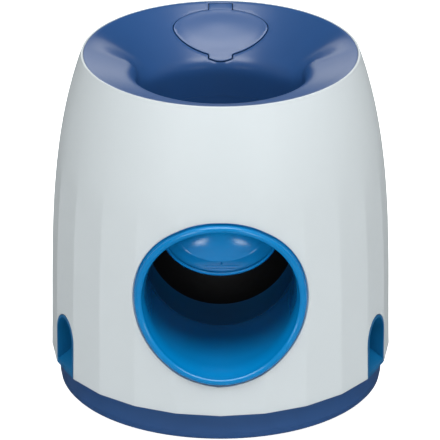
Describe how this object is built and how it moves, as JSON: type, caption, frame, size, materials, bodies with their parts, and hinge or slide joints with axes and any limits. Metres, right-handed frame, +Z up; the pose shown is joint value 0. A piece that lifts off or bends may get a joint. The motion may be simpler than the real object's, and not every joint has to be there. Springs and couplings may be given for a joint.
{
  "type": "dog puzzle toy",
  "caption": "Ball-drop treat dispenser for dogs: a ball put in the top funnel swings a trigger flap, rolls out of the front tube and lets treats fall to arched side outlets.",
  "frame": {"origin": "centre of the footprint, on the surface that the rubber feet stand on", "axes": "+Z up, -Y to the front where the ball comes out, +X to the right seen from the front"},
  "size_m": [0.17, 0.1713, 0.175],
  "materials": {
    "shell_white": "satin moulded plastic, pale cool grey",
    "navy_plastic": "satin moulded plastic, dark navy",
    "black_plastic": "matt moulded plastic, black",
    "blue_plastic": "semi-gloss moulded plastic, light blue",
    "bush_plastic": "natural acetal",
    "steel": "zinc-plated steel",
    "rubber": "matt rubber"
  },
  "bodies": {
    "housing": {"outer_shell": "shell_white", "base": "navy_plastic", "rubber_feet": "rubber", "base_screws": "steel", "chassis_screws": "steel", "funnel": "navy_plastic", "drop_shaft": "navy_plastic", "ball_ramp": "black_plastic", "front_tube": "blue_plastic", "tube_cradle": "blue_plastic", "left_chute": "blue_plastic", "right_chute": "blue_plastic", "treat_hopper": "navy_plastic", "left_axle_bush": "bush_plastic", "right_axle_bush": "bush_plastic", "stop_bumpers": "rubber", "return_spring": "steel", "lid_hinge_pin": "steel"},
    "trigger": {"trigger_flap": "blue_plastic", "trigger_axle": "steel", "left_drum": "blue_plastic", "right_drum": "blue_plastic", "axle_clips": "steel"},
    "lid": {"filling_lid": "navy_plastic"}
  },
  "joints": [
    {"name": "trigger_swing", "type": "hinge", "parent": "housing", "child": "trigger", "pos_m": [0, -0.028, 0.115], "axis": [-1, 0, 0], "range_deg": [0, 40], "stiffness_Nm_per_rad": 0.006, "springref_deg": -80.21},
    {"name": "lid_hinge", "type": "hinge", "parent": "housing", "child": "lid", "pos_m": [0, 0.06693, 0.17241], "axis": [-1, 0, 0], "range_deg": [0, 90]}
  ]
}
